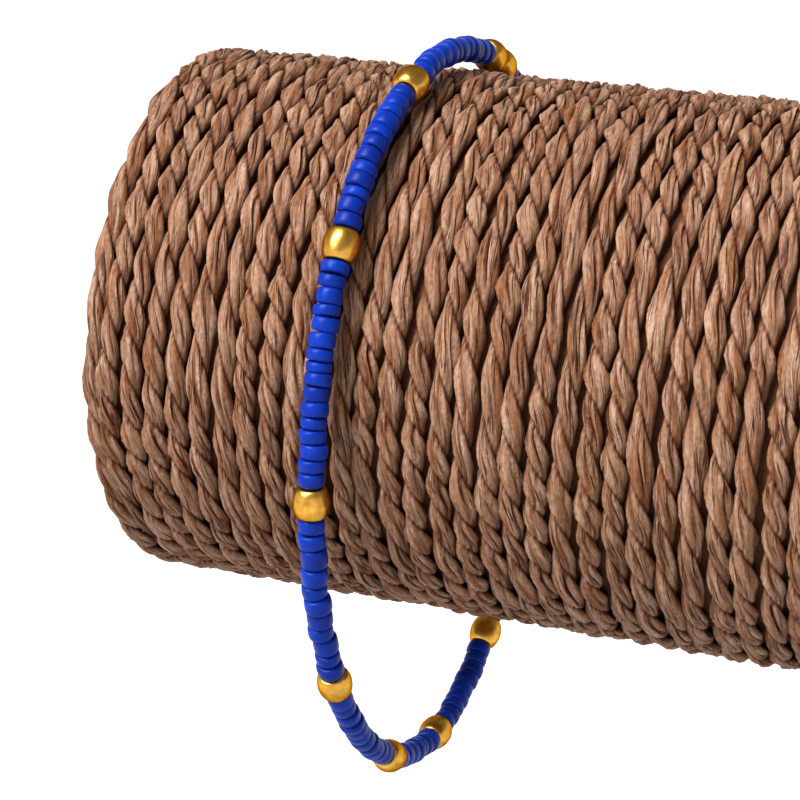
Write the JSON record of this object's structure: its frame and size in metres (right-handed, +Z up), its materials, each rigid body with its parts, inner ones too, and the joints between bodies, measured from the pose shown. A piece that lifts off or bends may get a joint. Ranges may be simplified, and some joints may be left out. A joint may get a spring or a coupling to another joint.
{
  "type": "beaded anklet on a cord-wound display roll",
  "caption": "Closed string of flat round beads with larger barrel beads between them, hung over a level display roll wound with twisted cord and held by its end.",
  "frame": {"origin": "centre of the flat end face by which the roll is held", "axes": "+X out of the held end face along the roll, +Z up, the front of the hanging loop towards -Y"},
  "size_m": [0.0875, 0.0748, 0.0901],
  "materials": {
    "twisted_cord": "matte twisted paper cord",
    "blue_bead": "opaque satin glass",
    "gold_bead": "polished gold plate",
    "elastic": "smooth elastic"
  },
  "bodies": {
    "root": {"roll": "twisted_cord", "thread": "elastic", "gold_bead_01": "gold_bead", "gold_bead_02": "gold_bead", "gold_bead_03": "gold_bead", "gold_bead_04": "gold_bead", "gold_bead_05": "gold_bead", "gold_bead_06": "gold_bead", "gold_bead_07": "gold_bead", "gold_bead_08": "gold_bead", "gold_bead_09": "gold_bead", "gold_bead_10": "gold_bead", "gold_bead_11": "gold_bead", "gold_bead_12": "gold_bead", "blue_run_01": "blue_bead", "blue_run_02": "blue_bead", "blue_run_03": "blue_bead", "blue_run_04": "blue_bead", "blue_run_05": "blue_bead", "blue_run_06": "blue_bead", "blue_run_07": "blue_bead", "blue_run_08": "blue_bead", "blue_run_09": "blue_bead", "blue_run_10": "blue_bead", "blue_run_11": "blue_bead"}
  },
  "joints": []
}
